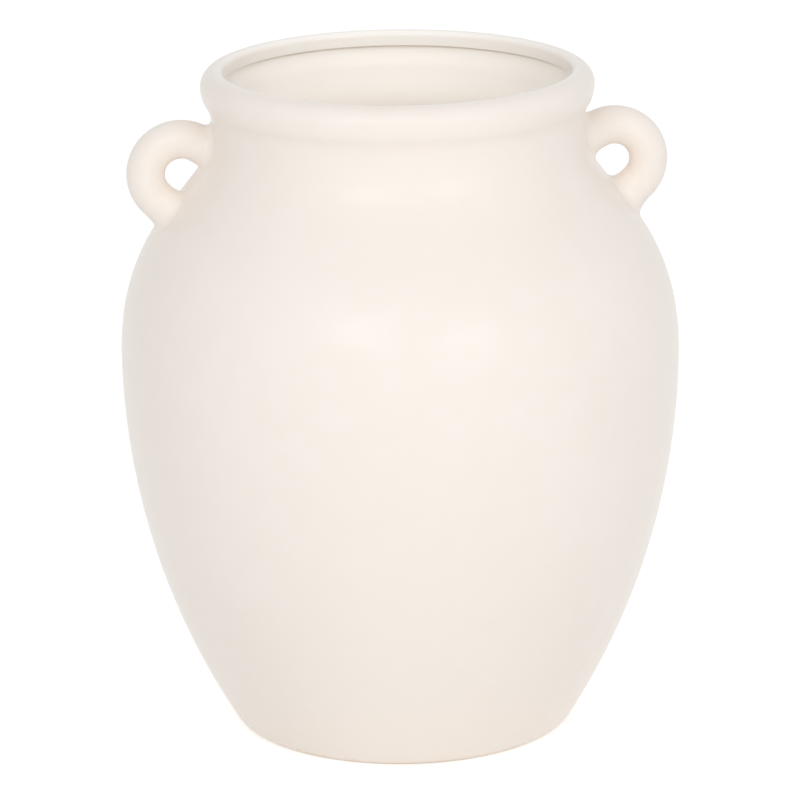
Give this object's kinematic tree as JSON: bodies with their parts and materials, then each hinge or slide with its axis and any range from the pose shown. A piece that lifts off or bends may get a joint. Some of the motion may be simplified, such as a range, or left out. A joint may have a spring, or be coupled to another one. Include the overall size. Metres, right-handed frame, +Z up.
{
  "type": "handled vase",
  "caption": "Bellied ceramic vase with a rolled rim, a round foot and small loop handles at the neck, that stands on a shelf or table and holds stems.",
  "frame": {"origin": "centre of the standing ring, on the surface that the vase stands on", "axes": "+Z up along the vase's axis, +X towards the right handle, -Y towards the viewer"},
  "size_m": [0.233, 0.233, 0.28],
  "materials": {
    "cream_glaze": "satin",
    "glazed_slip": "satin"
  },
  "bodies": {
    "root": {"body": "cream_glaze", "rim": "cream_glaze", "rim_slip_joint": "glazed_slip", "left_handle": "cream_glaze", "left_upper_slip_joint": "glazed_slip", "left_lower_slip_joint": "glazed_slip", "right_handle": "cream_glaze", "right_upper_slip_joint": "glazed_slip", "right_lower_slip_joint": "glazed_slip"}
  },
  "joints": []
}
